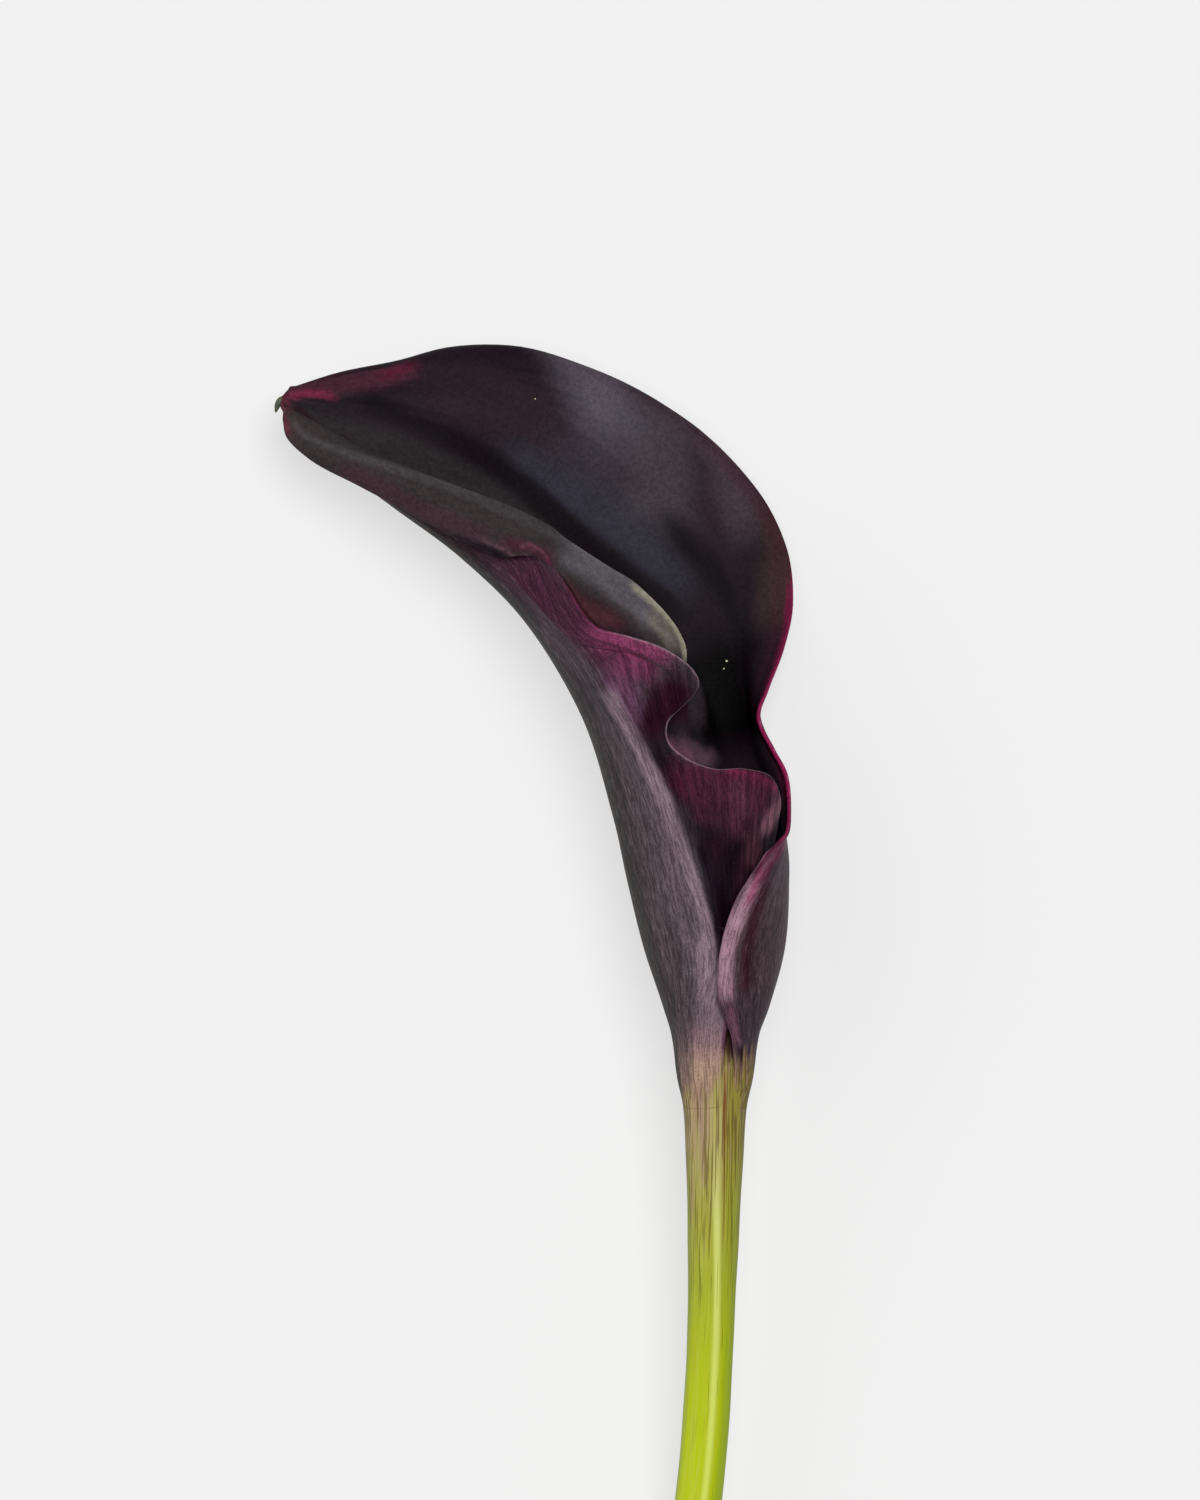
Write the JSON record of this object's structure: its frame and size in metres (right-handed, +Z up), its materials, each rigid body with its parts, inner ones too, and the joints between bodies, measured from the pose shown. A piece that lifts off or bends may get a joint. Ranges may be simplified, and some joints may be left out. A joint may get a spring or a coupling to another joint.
{
  "type": "calla lily flower",
  "caption": "Cut calla lily lying on its side: a dark waved spathe rolled into a funnel round a hidden spadix, on a thick green stem.",
  "frame": {"origin": "middle of the box round the part, on the surface it lies on", "axes": "+Y along the stem toward the bloom, +Z up from the surface, +X to the right of the bloom seen from above"},
  "size_m": [0.0833, 0.237, 0.0393],
  "materials": {
    "stem": "smooth, waxy, bright yellow-green",
    "spathe": "satin, near black inside, plum outside with magenta margins",
    "spadix": "matt, beaded, ochre"
  },
  "bodies": {
    "root": {"stem": "stem", "spathe": "spathe", "spadix": "spadix"}
  },
  "joints": []
}
